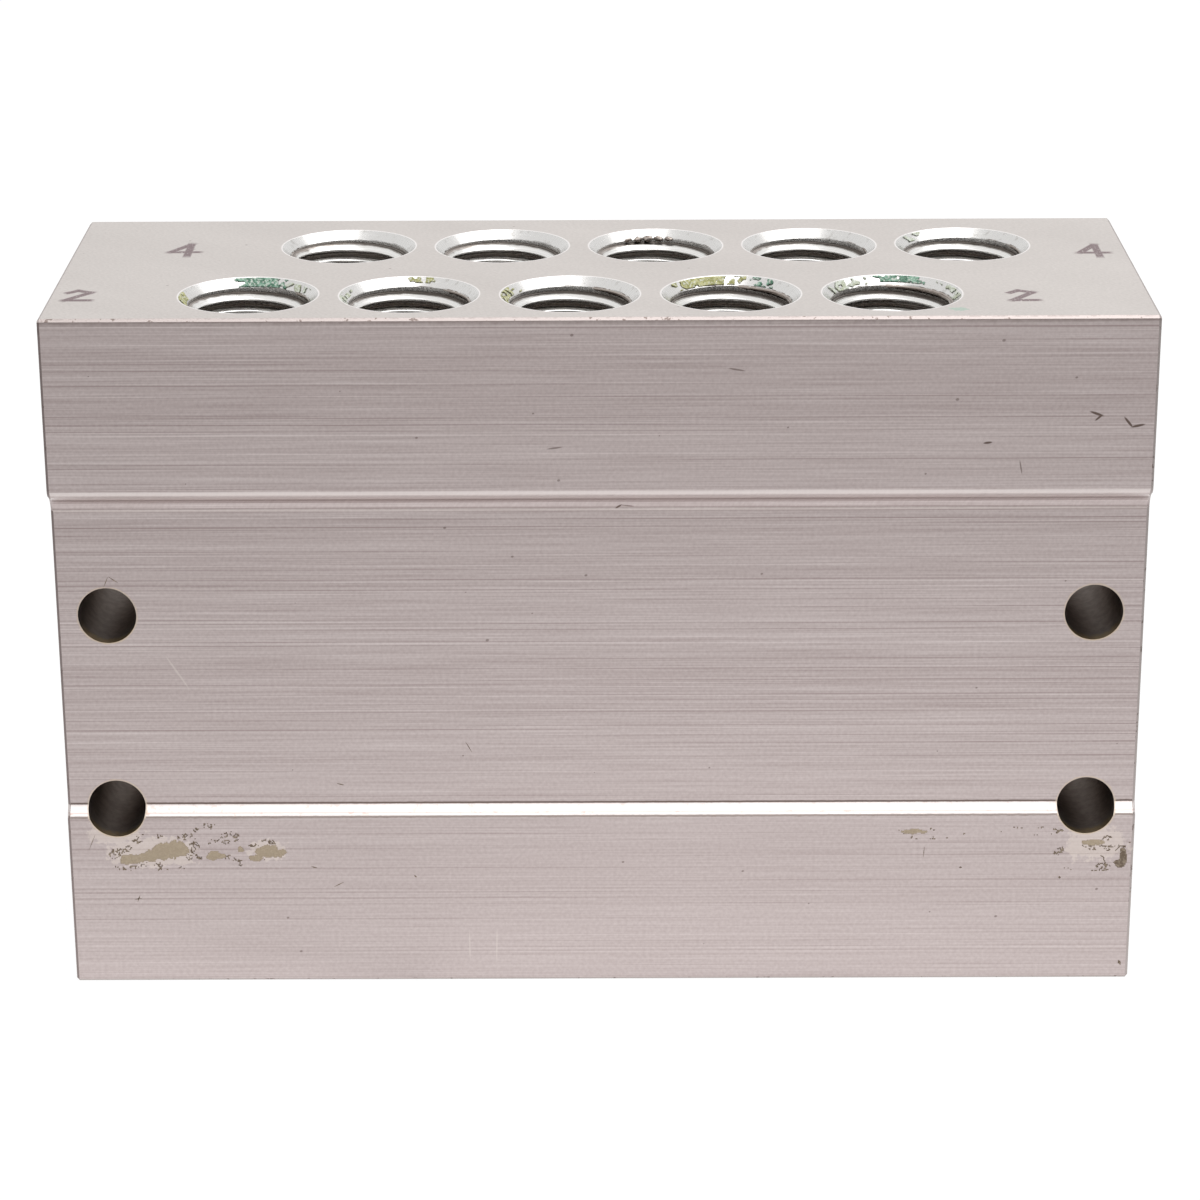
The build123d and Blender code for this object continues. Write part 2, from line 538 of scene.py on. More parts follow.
# Parts of the foot that hold the marks: left, right, low, high
LEFT_REGION = (-59.5, -35.5, 13.0, 20.4)
RIGHT_REGION = (33.5, 61.1, 12.6, 20.4)
STAIN_REGION = (58.6, 61.1, 13.4, 17.2)

# Burr at the foot of a port's chamfer: angle in degrees, size
BURR_LUMPS = [(118, 0.42), (107, 0.5), (97, 0.55), (86, 0.5), (76, 0.42)]


# ---------------------------------------------------------------- materials

def new_material(name):
    """A material with a Principled shader and nothing else."""
    material = bpy.data.materials.new(name)
    material.use_nodes = True
    material.node_tree.nodes.clear()
    graph = Graph(material.node_tree)
    shader = graph.add("BsdfPrincipled")
    output = graph.add("OutputMaterial")
    graph.feed(output.inputs["Surface"], shader.outputs[0])
    return material, graph, shader


def raise_surface(graph, shader, height_mm):
    """Bumps the surface by a height in millimetres."""
    bump = graph.add("Bump")
    bump.inputs["Strength"].default_value = 1.0
    bump.inputs["Distance"].default_value = MM
    graph.feed(bump.inputs["Height"], height_mm)
    graph.feed(shader.inputs["Normal"], bump.outputs[0])


def stroke_field(g, point, strokes, is_box=False):
    """How far a point is into the nearest stroke: 0 in its middle, 1 on its outline.

    A stroke is an oval around its start and end, or with is_box a square-ended bar.
    """
    result = WELL_OUTSIDE
    for x0, y0, x1, y1, width in strokes:
        run = math.hypot(x1 - x0, y1 - y0)
        local = g.add("Mapping", vector_type="TEXTURE")
        g.feed(local.inputs["Vector"], point)
        g.feed(local.inputs["Location"], ((x0 + x1) / 2, (y0 + y1) / 2, 0.0))
        g.feed(local.inputs["Rotation"], (0.0, 0.0, math.atan2(y1 - y0, x1 - x0)))
        g.feed(local.inputs["Scale"], (run / 2 + width / 2, width / 2, 1.0))
        if is_box:
            along, across, _ = g.split(g.vector("ABSOLUTE", local.outputs[0]))
            reach = g.largest(along, across)
        else:
            reach = g.vector("LENGTH", local.outputs[0])
        result = g.smallest(result, reach)
    return result


def blot_masks(g, point, blots, ripple):
    """Largest of the given ovals."""
    result = 0.0
    for x, z, width, height in blots:
        mask = g.place(blot, point=point, centre=(x, z, 0), size=(width, height, 1.0), ripple=ripple)[0]
        result = g.largest(result, mask)
    return result


def stamp_mask(g, point, strokes, places):
    """One number, stamped at two places: the point is taken to whichever of them is nearer."""
    left, right = places
    x, _, _ = g.split(point)
    is_right = g.math("GREATER_THAN", x, (left[0] + right[0]) / 2)
    local = g.vector("SUBTRACT", point, g.mix_points(is_right, (*left, 0.0), (*right, 0.0)))
    bars = [(*ends, DIGIT_WIDTH) for ends in strokes]
    return g.ramp(stroke_field(g, local, bars, is_box=True), 0.75, 1.2, 1.0, 0.0)


def make_block_material():
    """Anodised skin, milled faces, bare edges and mouths, with the marks of use over them; painted
    highlights on the ledge, the bend and the port lips, and painted shade in the creases, the bores, the
    numbers and down the left edge.
    """
    material, g, shader = new_material("anodised block")
    point = g.point()
    x, y, z = g.split(point)
    edge, depth, front = g.place(block_skin, point=point)
    radius, port_depth = g.place(port_walls, point=point)
    speckle = g.noise(point, 4.5, 2.0, 0.6)
    ripple = g.noise(point, 1.2, 3.0, 0.65)

    # Where the point lies: in a hole, or on which face, edge or mouth
    inside = g.math("GREATER_THAN", depth, SKIN_DEPTH)
    on_skin = g.math("SUBTRACT", 1.0, inside)
    on_top = g.math("GREATER_THAN", z, TOP - SLACK)
    on_end = g.math("GREATER_THAN", g.math("ABSOLUTE", x), HALF_LENGTH - SLACK)
    on_back = g.math("GREATER_THAN", y, BACK - SLACK)
    on_front = g.math("LESS_THAN", front, FRONT_DEPTH)
    on_front = g.math("MULTIPLY", on_front, g.math("LESS_THAN", z, TOP - EDGE_BREAK))
    is_milled = g.largest(on_top, on_end, on_back)
    on_break = g.math("MULTIPLY", g.math("LESS_THAN", edge, EDGE_BREAK + SLACK), on_skin)
    bare_mouth = g.math("LESS_THAN", radius, MOUTH_RADIUS + SLACK)
    bare_mouth = g.largest(inside, g.math("MULTIPLY", bare_mouth, g.math("SUBTRACT", 1.0, on_top)))
    rise = g.math("SUBTRACT", z, FIXING.z)
    hole_x = g.math("SUBTRACT", g.math("ABSOLUTE", x), FIXING_X)
    hole_z = g.math("SUBTRACT", rise, g.math("MULTIPLY", g.math("SIGN", rise), FIXING_Z))
    fixing = g.vector("LENGTH", g.join(hole_x, hole_z))
    in_fixing = g.math("LESS_THAN", fixing, FIXING_RADIUS + SLACK)

    # Extruded skin with its die lines; milled top, back and ends
    tone, height = g.place(finish, point=point, is_milled=is_milled)
    dark = g.tint(is_milled, SKIN_DARK, MILLED_DARK)
    light = g.tint(is_milled, SKIN_LIGHT, MILLED_LIGHT)
    colour = g.tint(tone, dark, light)

    # Painted highlights and painted shade in lines beside the bend and the ledge, a reddish line on the
    # ledge, and a painted highlight on the ledge itself, all a little uneven in height
    level = g.math("MULTIPLY_ADD", ripple, 0.10, g.math("SUBTRACT", z, 0.05))
    level = g.math("MULTIPLY", level, on_front)

    def line_mask(height_mm, width, strength):
        away = g.math("ABSOLUTE", g.math("SUBTRACT", level, height_mm))
        return g.ramp(away, width * 0.35, width, strength, 0.0)

    for height_mm, width, strength, line_colour in BEND_HIGHLIGHTS_AND_SHADE:
        colour = g.tint(line_mask(height_mm, width, strength), colour, line_colour)
    # The ledge is painted bright as a highlight
    on_ledge_highlight = line_mask((LEDGE_TOP + FOOT_TOP) / 2, 0.86, 1.0)
    ledge = g.tint(g.ramp(ripple, 0.56, 0.66), LEDGE_HIGHLIGHT, DULL_LEDGE_HIGHLIGHT)
    colour = g.tint(on_ledge_highlight, colour, ledge)
    for height_mm, width, strength, line_colour in LEDGE_LINES:
        colour = g.tint(line_mask(height_mm, width, strength), colour, line_colour)

    # Broken edges: bare and bright, with painted shade down the left one, darker in patches along the top,
    # and a darker line painted just under the top edge
    nicks = g.math("MULTIPLY", g.ramp(ripple, 0.60, 0.66), 0.7)
    breaks = g.tint(nicks, BARE_EDGE, DIRT_AND_SHADE)
    left_edge_shade = g.math("LESS_THAN", x, EDGE_BREAK - HALF_LENGTH)
    left_edge_shade = g.math("MULTIPLY", left_edge_shade, g.math("LESS_THAN", z, TOP - 0.4))
    breaks = g.tint(g.math("MULTIPLY", left_edge_shade, 0.75), breaks, SHADED_LEFT_EDGE)
    at_top = g.math("MULTIPLY", g.math("GREATER_THAN", z, TOP - 0.13), g.ramp(ripple, 0.35, 0.55, 0.6, 0.0))
    breaks = g.tint(at_top, breaks, TOP_EDGE)
    colour = g.tint(on_break, colour, breaks)
    # Painted highlight on the rounded lip around each port's mouth
    lip_highlight = g.math("MULTIPLY", g.ramp(radius, MOUTH_RADIUS + 0.05, MOUTH_RADIUS + 0.22, 0.6, 0.0), on_top)
    colour = g.tint(lip_highlight, colour, LIP_HIGHLIGHT)
    under_rim = g.math("MULTIPLY_ADD", ripple, 0.5, g.math("SUBTRACT", TOP, z))
    under_rim = g.math("MULTIPLY", g.ramp(under_rim, 0.45, 1.20, 0.5, 0.0), on_front)
    colour = g.tint(under_rim, colour, DIRT_AND_SHADE)

    # Scratches and dots
    front_point = g.join(x, z, 0.0)
    deep_cuts = g.ramp(stroke_field(g, front_point, DEEP_SCRATCHES), 0.6, 1.1, 0.9, 0.0)
    faint_cuts = g.ramp(stroke_field(g, front_point, FAINT_SCRATCHES), 0.6, 1.1, 0.6, 0.0)
    scratches = g.math("MULTIPLY", g.largest(deep_cuts, faint_cuts), on_front)
    scuffs = g.ramp(stroke_field(g, front_point, PALE_SCRATCHES), 0.6, 1.1, 0.45, 0.0)
    scuffs = g.math("MULTIPLY", scuffs, on_front)
    dots = g.place(scattered, point=point, spacing=5.0, size=0.15, share=0.15, turn=0.3, stretch=1.3)[0]
    wear = g.math("MULTIPLY", g.largest(scratches, g.math("MULTIPLY", dots, 0.55)), on_skin)
    colour = g.tint(wear, colour, DIRT_AND_SHADE)
    colour = g.tint(scuffs, colour, PALE_STAIN_AND_HIGHLIGHT)
    torn = g.math("MULTIPLY", g.math("SUBTRACT", ripple, 0.5), 1.8)
    halos = g.math("MULTIPLY", blot_masks(g, front_point, HALOS, torn), on_front)
    colour = g.tint(g.math("MULTIPLY", halos, 0.40), colour, HALO)

    # Stamped numbers and old sealant on the top face
    top_point = g.join(x, y, 0.0)
    fours = stamp_mask(g, top_point, FOUR, FOUR_PLACES)
    twos = stamp_mask(g, top_point, TWO, TWO_PLACES)
    digits = g.largest(fours, twos)
    digits = g.math("MULTIPLY", g.math("MULTIPLY", digits, g.ramp(speckle, 0.28, 0.44)), on_top)
    # The numbers exist only in colour: painted shade of the stamped recesses, with grime
    colour = g.tint(g.math("MULTIPLY", digits, 0.85), colour, STAMP)
    smears = g.math("MULTIPLY", blot_masks(g, top_point, SMEARS, torn), on_top)
    colour = g.tint(g.math("MULTIPLY", smears, 0.5), colour, SMEAR)

    # Turned mouths and bores, bare and bright, with grime in patches
    turned = g.math("SINE", g.math("MULTIPLY", radius, 60.0))
    bare = g.tint(g.ramp(turned, -1.0, 1.0), TURNED_DARK, TURNED_LIGHT)
    bare = g.tint(g.ramp(ripple, 0.56, 0.70, 0.0, 0.30), bare, GRIME)
    # Painted shade: the bore walls darken deeper down
    deep = g.ramp(port_depth, CHAMFER + 0.1, CHAMFER + 0.6, 0.0, 0.75)
    bare = g.tint(deep, bare, SHADED_DEEP_WALL)
    colour = g.tint(bare_mouth, colour, bare)

    # Drilled walls of the fixing holes, with a patchy bright rim and old residue at the mouth
    drilled = g.tint(g.ramp(ripple, 0.35, 0.65), DRILLED_DARK, DRILLED_LIGHT)
    near_mouth = g.ramp(g.math("MULTIPLY_ADD", ripple, 2.4, front), 1.6, 3.0, 0.85, 0.0)
    near_mouth = g.math("MULTIPLY", near_mouth, g.ramp(hole_z, -2.4, -0.6, 1.0, 0.0))
    drilled = g.tint(near_mouth, drilled, HOLE_RESIDUE)
    colour = g.tint(in_fixing, colour, drilled)
    rim = g.math("SUBTRACT", fixing, g.math("MULTIPLY", ripple, 0.45))
    rim = g.ramp(rim, FIXING_RADIUS - 0.16, FIXING_RADIUS + SLACK, 0.8, 0.0)
    rim = g.math("MULTIPLY", g.math("MULTIPLY", rim, on_front), g.math("SUBTRACT", 1.0, in_fixing))
    colour = g.tint(rim, colour, HOLE_RIM)

    # Metal throughout, but for the old sealant and the numbers, whose dark is grime and painted recess
    # shade; smoothest where it is bare
    g.feed(shader.inputs["Base Color"], colour)
    covered = g.largest(g.math("MULTIPLY", smears, 0.7), digits)
    g.feed(shader.inputs["Metallic"], g.blend(covered, 1.0, 0.2))
    rough = g.blend(bare_mouth, g.blend(is_milled, 0.40, 0.46), 0.24)
    rough = g.blend(in_fixing, rough, 0.34)
    rough = g.blend(covered, rough, 0.75)
    g.feed(shader.inputs["Roughness"], g.math("MULTIPLY_ADD", speckle, 0.06, rough))
    relief = g.math("MULTIPLY", height, on_skin)
    raise_surface(g, shader, g.math("MULTIPLY", relief, MICROMETRE))
    return material


def make_thread_material():
    """Cut metal: bright torn crests, with painted shade in the grooves, lighter further down."""
    material, g, shader = new_material("cut threads")
    point = g.point()
    radius, depth = g.place(port_walls, point=point)
    chatter = g.noise(g.join(g.math("MULTIPLY", radius, 7.0), g.math("MULTIPLY", depth, 3.0), 0.0), 1.0, 2.0)
    cloud = g.noise(point, 0.8, 3.0, 0.6)
    reach = g.math("ADD", radius, g.math("MULTIPLY", g.math("SUBTRACT", cloud, 0.5), 0.5))
    # Painted shade in the groove roots, lighter further down
    root = g.ramp(reach, BORE_RADIUS - 0.62, BORE_RADIUS - 0.30)
    bright = g.tint(chatter, CREST_DARK, CREST_LIGHT)
    shallow_groove_shade = g.tint(g.ramp(chatter, 0.4, 0.6), GROOVE_SHADE_DARK, GROOVE_SHADE_LIGHT)
    deep_groove_shade = g.tint(g.ramp(chatter, 0.4, 0.6), DEEP_GROOVE_SHADE_DARK, DEEP_GROOVE_SHADE_LIGHT)
    dark = g.tint(g.ramp(depth, 1.8, 2.8), shallow_groove_shade, deep_groove_shade)
    g.feed(shader.inputs["Base Color"], g.tint(root, bright, dark))
    shader.inputs["Metallic"].default_value = 1.0
    g.feed(shader.inputs["Roughness"], g.ramp(chatter, 0.3, 0.7, 0.20, 0.34))
    raise_surface(g, shader, g.math("MULTIPLY", chatter, 0.01))
    return material


def make_sealant_material(name, deep, pale, glint_share=0.7):
    """Dried paste in patches of two colours, with painted highlights as pale specks."""
    material, g, shader = new_material(name)
    point = g.point()
    patches = g.ramp(g.noise(point, 2.0, 3.0, 0.65), 0.40, 0.60)
    glint_flecks = g.ramp(g.noise(point, 3.6, 2.0, 0.6), 0.52, 0.62, 0.0, glint_share)
    colour = g.tint(patches, deep, pale)
    colour = g.tint(glint_flecks, colour, SEALANT_GLINT)
    g.feed(shader.inputs["Base Color"], colour)
    g.feed(shader.inputs["Roughness"], g.ramp(patches, 0.0, 1.0, 0.45, 0.65))
    raise_surface(g, shader, g.math("MULTIPLY", patches, 0.03))
    return material


# ---------------------------------------------------------------- pieces

def finish_piece(name, bm, material):
    """Turns a bmesh into a piece of the block that lies where it was modelled."""
    bmesh.ops.remove_doubles(bm, verts=bm.verts, dist=1e-6)
    bmesh.ops.recalc_face_normals(bm, faces=bm.faces)
    mesh = bpy.data.meshes.new(name)
    bm.to_mesh(mesh)
    bm.free()
    mesh.materials.append(material)
    mesh.shade_smooth()
    piece = bpy.data.objects.new(name, mesh)
    bpy.context.scene.collection.objects.link(piece)
    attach(piece, "root")


def port_placement(mount):
    """Matrix from a port standing at the origin with its mouth up to the port's own place."""
    axis = Vector(mount["axis"])
    middle = Vector(mount["pos_m"]) / MM
    mouth = middle + axis * (mount["dims"]["length_mm"] / 2 + CHAMFER)
    turn = Vector((0, 0, 1)).rotation_difference(axis).to_matrix().to_4x4()
    return Matrix.Scale(MM, 4) @ Matrix.Translation(mouth) @ turn


def thread_ridge():
    """A helical 60 degree ridge up the wall of a port whose mouth is at the origin, and its run-out."""
    bm = bmesh.new()
    wall = BORE_RADIUS + 0.04
    crest = BORE_RADIUS - THREAD_DEPTH
    half_root = THREAD_PITCH / 2 - SLACK

    # The ridge's section as radius and height: a slightly blunt, slightly uneven crest
    section = [
        (wall, -half_root), (crest + 0.10, -0.14), (crest + 0.02, -0.08), (crest, 0.0),
        (crest + 0.02, 0.08), (crest + 0.10, 0.15), (crest + 0.45, 0.33), (wall, half_root),
    ]
    turns = math.floor((PORT_DEPTH - RUN_OUT) / THREAD_PITCH)
    start = -CHAMFER - (turns - START_LEVEL) * THREAD_PITCH
    verts = [bm.verts.new((radius, 0, start + z)) for radius, z in section]
    face = bm.faces.new(verts)
    steps = int((turns + 0.6) * STEPS_PER_TURN)
    bmesh.ops.spin(
        bm, geom=[face] + list(face.edges) + verts, cent=(0, 0, 0), axis=(0, 0, 1),
        dvec=(0, 0, THREAD_PITCH / STEPS_PER_TURN), angle=2 * math.pi * steps / STEPS_PER_TURN,
        steps=steps, use_merge=False, use_duplicate=False,
    )

    # The chamfer cuts the topmost turns off along a slightly ragged cone
    for vert in bm.verts:
        radius = math.hypot(vert.co.x, vert.co.y)
        ragged = 0.10 * noise.noise(vert.co * 1.7)
        cone = MOUTH_RADIUS + vert.co.z + ragged
        if cone > radius:
            reach = min(max(cone, radius), wall)
            vert.co.x *= reach / radius
            vert.co.y *= reach / radius
            vert.co.z = min(vert.co.z, reach - MOUTH_RADIUS - ragged)

    # A plain sleeve at the tap drill's size fills the run-out
    sleeve = [
        bm.verts.new((radius, 0, z)) for radius, z in (
            (wall, -PORT_DEPTH + SLACK), (crest, -PORT_DEPTH + SLACK),
            (crest, -PORT_DEPTH + RUN_OUT), (wall, -PORT_DEPTH + RUN_OUT + 0.5),
        )
    ]
    loop = [bm.edges.new((sleeve[i], sleeve[(i + 1) % 4])) for i in range(4)]
    bmesh.ops.spin(bm, geom=sleeve + loop, cent=(0, 0, 0), axis=(0, 0, 1), dvec=(0, 0, 0),
                   angle=2 * math.pi, steps=STEPS_PER_TURN, use_merge=True, use_duplicate=False)
    return bm


def make_threads(material):
    """The same thread in every tapped port, each turned on a little from the last."""
    ridge = thread_ridge()
    for number, (name, mount) in enumerate(mounts.items()):
        if mount["kind"] != "threaded_hole":
            continue
        bm = ridge.copy()
        turn = Matrix.Rotation(START_TURN * number, 3, "Z")
        bmesh.ops.rotate(bm, verts=bm.verts, cent=(0, 0, 0), matrix=turn)
        bm.transform(port_placement(mount))
        finish_piece("thread_" + name, bm, material)
    ridge.free()


def make_scrap(name, port, sweep, band, material, seed, gaps):
    """A thin, torn film of old sealant on a port's chamfer.

    The sweep gives two angles in degrees, the band two shares of the chamfer, gaps the share torn out.
    """
    bm = bmesh.new()
    bmesh.ops.create_grid(bm, x_segments=70, y_segments=12, size=0.5)
    first, last = math.radians(sweep[0]), math.radians(sweep[1])
    shift = Vector((seed * 7.3, seed * 3.1, seed * 1.7))
    for vert in bm.verts:
        across = band[0] + (vert.co.y + 0.5) * (band[1] - band[0])
        angle = first + (vert.co.x + 0.5) * (last - first)
        radius = BORE_RADIUS + across * CHAMFER
        around = Vector((math.cos(angle) * radius, math.sin(angle) * radius, 0))
        crumple = 0.5 + 0.5 * noise.fractal(around * 2.2 + shift, 0.8, 2.0, 3)
        height = 0.03 + 0.10 * max(crumple, 0.0)
        outward = Vector((math.cos(angle), math.sin(angle), 0))
        spot = around + Vector((0, 0, radius - MOUTH_RADIUS)) + (Vector((0, 0, 1)) - outward) * height * 0.7
        spot.z = min(spot.z, -0.09)
        vert.co = spot

    # Holes torn by a noise, more of them towards both ends
    torn = []
    for face in bm.faces:
        middle = face.calc_center_median()
        angle = math.atan2(middle.y, middle.x) % (2 * math.pi)
        share = ((angle - first) % (2 * math.pi)) / (last - first)
        fade = min(share, 1 - share) * 3.5
        if noise.noise(middle * 1.5 + shift) * 0.5 + 0.5 < gaps + 0.35 * max(0.0, 1 - fade):
            torn.append(face)
    bmesh.ops.delete(bm, geom=torn, context="FACES")
    bmesh.ops.solidify(bm, geom=bm.faces, thickness=SCRAP_THICKNESS)
    bm.transform(port_placement(mounts[port]))
    finish_piece(name, bm, material)


def oval_field(x, z, ovals):
    """How far a point is into the nearest of the ovals: 0 in its middle, 1 on its outline."""
    return min(math.hypot((x - cx) / width, (z - cz) / height) for cx, cz, width, height in ovals)


def foot_film(name, region, grid, keep, height, material):
    """A thin torn film on the foot.

    Keep says which faces of a fine grid stay, height how far they stand off.
    """
    left, right, low, high = region
    foot = FRONT + FOOT_SETBACK
    bm = bmesh.new()
    columns = round((right - left) / grid)
    rows = round((high - low) / grid)
    bmesh.ops.create_grid(bm, x_segments=columns, y_segments=rows, size=0.5)
    for vert in bm.verts:
        x = (left + right) / 2 + vert.co.x * (right - left)
        z = (low + high) / 2 + vert.co.y * (high - low)
        vert.co = Vector((x, foot - height(x, z), z))

    # Nothing lies over a fixing hole
    lost = []
    for face in bm.faces:
        middle = face.calc_center_median()
        hole = math.hypot(abs(middle.x) - FIXING_X, middle.z - FIXING.z + FIXING_Z)
        if hole < FIXING_RADIUS + 0.15 or not keep(middle.x, middle.z):
            lost.append(face)
    bmesh.ops.delete(bm, geom=lost, context="FACES")
    bmesh.ops.recalc_face_normals(bm, faces=bm.faces)
    bmesh.ops.solidify(bm, geom=bm.faces, thickness=FILM_THICKNESS)
    bmesh.ops.scale(bm, vec=(MM, MM, MM), verts=bm.verts)
    finish_piece(name, bm, material)


def make_residue(name, ovals, region, material):
    """Old residue in torn ovals, highest in their middles."""
    def spread(x, z):
        return oval_field(x, z, ovals) + 0.35 * noise.fractal(Vector((x, 0.0, z)) * 1.3, 0.9, 2.0, 3)

    def thickness(x, z):
        return 0.03 + 0.05 * max(0.0, 1.0 - spread(x, z))

    foot_film(name, region, 0.12, lambda x, z: spread(x, z) < 1.0, thickness, material)


def make_specks(name, rings, region, material):
    """Fine veins of specks that lie in rings, clear of the residue."""
    def keep(x, z):
        place = Vector((x, 3.0, z))
        field = oval_field(x, z, rings) + 0.30 * noise.noise(place * 0.55)
        clump = noise.noise(place * 0.8)
        vein = abs(noise.noise(place * 1.9)) + 0.35 * abs(noise.noise(place * 4.5))
        clear = oval_field(x, z, RESIDUE) > 1.2
        return clear and 0.55 < field < 1.15 and clump > -0.02 and vein < 0.19

    foot_film(name, region, 0.11, keep, lambda x, z: 0.03, material)


def make_scratches(name, strokes, material):
    """Thin dark slivers along the given strokes on the web and the foot."""
    bm = bmesh.new()
    for x0, z0, x1, z1, width in strokes:
        surface = FRONT + (WEB_SETBACK if z0 > LEDGE_TOP else FOOT_SETBACK)
        run = Vector((x1 - x0, 0.0, z1 - z0))
        sheet = bmesh.ops.create_grid(bm, x_segments=6, y_segments=1, size=0.5)
        across = Vector((-run.z, 0.0, run.x)).normalized() * width
        for vert in sheet["verts"]:
            taper = 1.0 - 1.6 * abs(vert.co.x)
            wander = 0.25 * width * noise.noise(Vector((x0, z0, vert.co.x * 3.0)))
            middle = Vector(((x0 + x1) / 2, surface - SLIVER_LIFT, (z0 + z1) / 2))
            vert.co = middle + run * vert.co.x + across * (vert.co.y * taper + wander)
    bmesh.ops.recalc_face_normals(bm, faces=bm.faces)
    bmesh.ops.solidify(bm, geom=bm.faces, thickness=FILM_THICKNESS)
    bmesh.ops.scale(bm, vec=(MM, MM, MM), verts=bm.verts)
    finish_piece(name, bm, material)


def make_burr(name, port, lumps, material):
    """Torn metal left at the edge between a chamfer and its thread: angle in degrees and size."""
    bm = bmesh.new()
    for degrees, size in lumps:
        angle = math.radians(degrees)
        centre = Vector((math.cos(angle), math.sin(angle), 0)) * (BORE_RADIUS - 0.05)
        centre.z = -CHAMFER + 0.05
        ball = bmesh.ops.create_icosphere(bm, subdivisions=3, radius=size)
        turn = Matrix.Rotation(angle, 4, "Z")
        flat = Matrix.Diagonal((0.45, 1.15, 0.6, 1.0))
        bmesh.ops.transform(bm, matrix=Matrix.Translation(centre) @ turn @ flat, verts=ball["verts"])
        for vert in ball["verts"]:
            away = (vert.co - centre) * 0.45
            vert.co += away * noise.fractal(vert.co * 2.6, 0.7, 2.0, 3)
    bm.transform(port_placement(mounts[port]))
    finish_piece(name, bm, material)


# ---------------------------------------------------------------- stage

# The floor's glow falls off from near the block to far from it. To the camera the glow has a strength
# of its own and takes up most of the floor's colour, which makes it plain white
GLOW_REACH = (30.0, 310.0)
GLOW_NEAR = 1.20
GLOW_FAR = 0.60
FLOOR_SEEN = 1.1
FLOOR_SEEN_SHARE = 0.85

# The world's strength as light, and as seen by the camera and in reflections
WORLD_LIT = 0.5
WORLD_SEEN = 1.0

# The camera's place and aim in mm, its roll in degrees, and its lens and sensor in mm
CAMERA_PLACE = (0.95, -401.51, 185.23)
CAMERA_AIM = (-0.09, 0.0, 39.66)
CAMERA_ROLL = -0.257
FOCAL_LENGTH = 107.81
SENSOR_WIDTH = 36.0


def make_floor():
    """A pale matte floor; reflections meet only its glow, and the camera sees it white."""
    bm = bmesh.new()
    bmesh.ops.create_grid(bm, x_segments=1, y_segments=1, size=3.0)
    mesh = bpy.data.meshes.new("floor")
    bm.to_mesh(mesh)
    bm.free()
    floor = bpy.data.objects.new("floor", mesh)
    bpy.context.scene.collection.objects.link(floor)
    material = bpy.data.materials.new("pale floor")
    material.use_nodes = True
    material.node_tree.nodes.clear()
    g = Graph(material.node_tree)
    matte = g.add("BsdfDiffuse")
    matte.inputs["Color"].default_value = (0.9, 0.9, 0.9, 1.0)
    glow = g.add("Emission")
    glow.inputs["Color"].default_value = (1.0, 1.0, 1.0, 1.0)
    path = g.add("LightPath")
    away = g.vector("LENGTH", g.point())
    lit = g.ramp(away, *GLOW_REACH, GLOW_NEAR, GLOW_FAR)
    g.feed(glow.inputs["Strength"], g.blend(path.outputs["Is Camera Ray"], lit, FLOOR_SEEN))
    mix = g.add("MixShader")
    camera_share = g.math("MULTIPLY", path.outputs["Is Camera Ray"], FLOOR_SEEN_SHARE)
    g.feed(mix.inputs[0], g.largest(camera_share, path.outputs["Is Glossy Ray"]))
    g.feed(mix.inputs[1], matte.outputs[0])
    g.feed(mix.inputs[2], glow.outputs[0])
    output = g.add("OutputMaterial")
    g.feed(output.inputs["Surface"], mix.outputs[0])
    mesh.materials.append(material)


def make_world():
    """A white surrounding that gives off less light than it shows."""
    world = bpy.data.worlds.new("studio")
    world.use_nodes = True
    world.node_tree.nodes.clear()
    g = Graph(world.node_tree)
    path = g.add("LightPath")
    seen = g.largest(path.outputs["Is Camera Ray"], path.outputs["Is Glossy Ray"],
                     path.outputs["Is Transmission Ray"])
    background = g.add("Background")
    background.inputs["Color"].default_value = (1.0, 1.0, 1.0, 1.0)
    g.feed(background.inputs["Strength"], g.blend(seen, WORLD_LIT, WORLD_SEEN))
    output = g.add("OutputWorld")
    g.feed(output.inputs["Surface"], background.outputs[0])
    bpy.context.scene.world = world


def make_lamp(name, place, aim, size, power):
    """A rectangular lamp, with places and sizes in metres and power in watts."""
    data = bpy.data.lights.new(name, "AREA")
    data.shape = "RECTANGLE"
    data.size, data.size_y = size
    data.energy = power
    lamp = bpy.data.objects.new(name, data)
    bpy.context.scene.collection.objects.link(lamp)
    lamp.location = place
    lamp.rotation_euler = (Vector(aim) - Vector(place)).to_track_quat("-Z", "Y").to_euler()


def make_camera():
    """The camera that shows the front and the top."""
    data = bpy.data.cameras.new("camera")
    data.sensor_width = SENSOR_WIDTH
    data.lens = FOCAL_LENGTH
    data.clip_start = 0.01
    camera = bpy.data.objects.new("camera", data)
    bpy.context.scene.collection.objects.link(camera)
    place = Vector(CAMERA_PLACE) * MM
    aim = Vector(CAMERA_AIM) * MM
    roll = math.radians(CAMERA_ROLL)
    turn = (aim - place).to_track_quat("-Z", "Y").to_matrix().to_4x4()
    camera.matrix_world = Matrix.Translation(place) @ turn @ Matrix.Rotation(roll, 4, "Z")
    bpy.context.scene.camera = camera


# ---------------------------------------------------------------- build

block = frame["nodes"][BLOCK]
block.data.materials.clear()
block.data.materials.append(make_block_material())

cut_metal = make_thread_material()
make_threads(cut_metal)

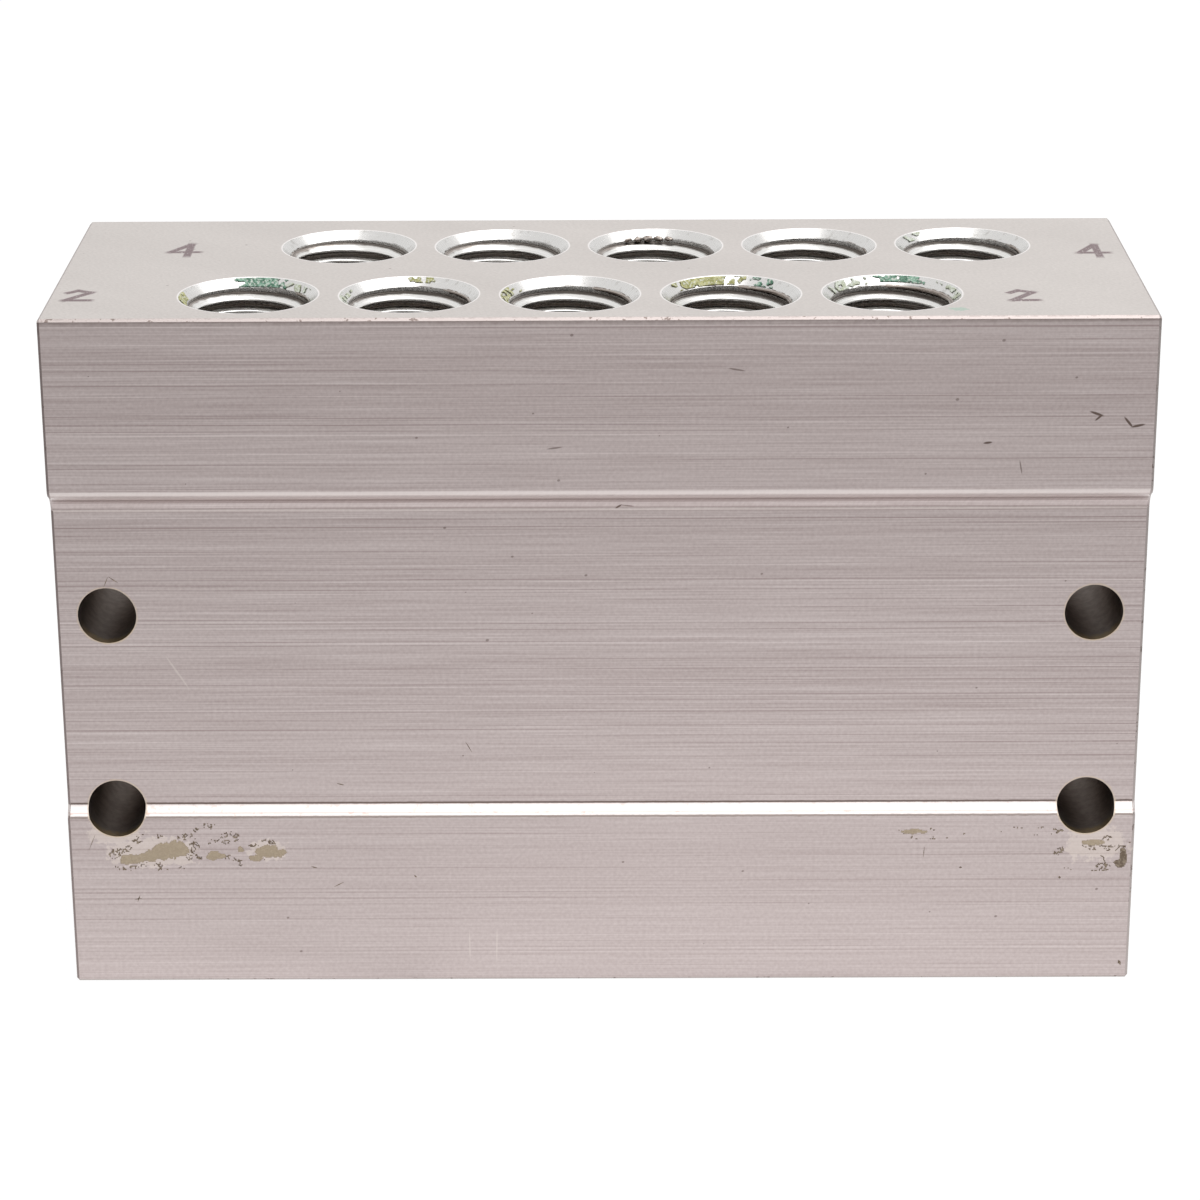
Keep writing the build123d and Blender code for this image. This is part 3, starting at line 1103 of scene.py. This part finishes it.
green = make_sealant_material("green sealant", shade(70, 116, 92), shade(150, 190, 168))
olive = make_sealant_material("yellow sealant", shade(150, 150, 84), shade(206, 204, 150))
pale = make_sealant_material("dried sealant", shade(190, 196, 168), shade(226, 232, 220))
make_scrap("sealant_b1_back", "work_port_b1", (58, 108), (0.05, 0.95), green, 1.0, gaps=0.30)
make_scrap("sealant_b1_left", "work_port_b1", (165, 200), (0.1, 1.0), olive, 2.0, gaps=0.36)
make_scrap("sealant_b1_right", "work_port_b1", (20, 62), (0.0, 0.7), pale, 3.0, gaps=0.50)
make_scrap("sealant_b2_back", "work_port_b2", (62, 100), (0.4, 1.0), olive, 4.0, gaps=0.52)
make_scrap("sealant_b2_left", "work_port_b2", (150, 205), (0.2, 1.0), pale, 5.0, gaps=0.44)
make_scrap("sealant_b3_left", "work_port_b3", (140, 200), (0.1, 1.0), olive, 6.0, gaps=0.44)
make_scrap("sealant_b4_back", "work_port_b4", (75, 150), (0.1, 0.95), olive, 7.0, gaps=0.30)
make_scrap("sealant_b4_right", "work_port_b4", (40, 80), (0.1, 0.9), green, 8.0, gaps=0.50)
make_scrap("sealant_b5_back", "work_port_b5", (55, 105), (0.3, 1.0), green, 9.0, gaps=0.30)
make_scrap("sealant_b5_left", "work_port_b5", (100, 170), (0.0, 0.9), pale, 10.0, gaps=0.50)
make_scrap("sealant_b5_right", "work_port_b5", (-20, 50), (0.0, 0.8), pale, 11.0, gaps=0.52)
make_scrap("sealant_a5_left", "work_port_a5", (120, 165), (0.2, 0.9), pale, 12.0, gaps=0.52)
khaki = make_sealant_material("khaki residue", shade(184, 166, 142), shade(191, 174, 150), 0.0)
brown = make_sealant_material("brown specks", shade(112, 94, 76), shade(156, 140, 122), 0.0)
for side, region in (("left", LEFT_REGION), ("right", RIGHT_REGION)):
    make_residue("residue_" + side, RESIDUE, region, khaki)
    make_specks("specks_" + side, SPECK_RINGS, region, brown)
make_residue("stain_right", STAIN, STAIN_REGION, brown)
make_scratches("scratches_front", LOW_SCRATCHES, brown)
make_burr("burr_a3", "work_port_a3", BURR_LUMPS, cut_metal)

make_floor()
make_world()
make_lamp("overhead", (0.2, -0.15, 0.75), (0, 0, 0.05), (1.1, 0.5), 3.5)
make_camera()

scene = bpy.context.scene
scene.view_settings.view_transform = "Standard"
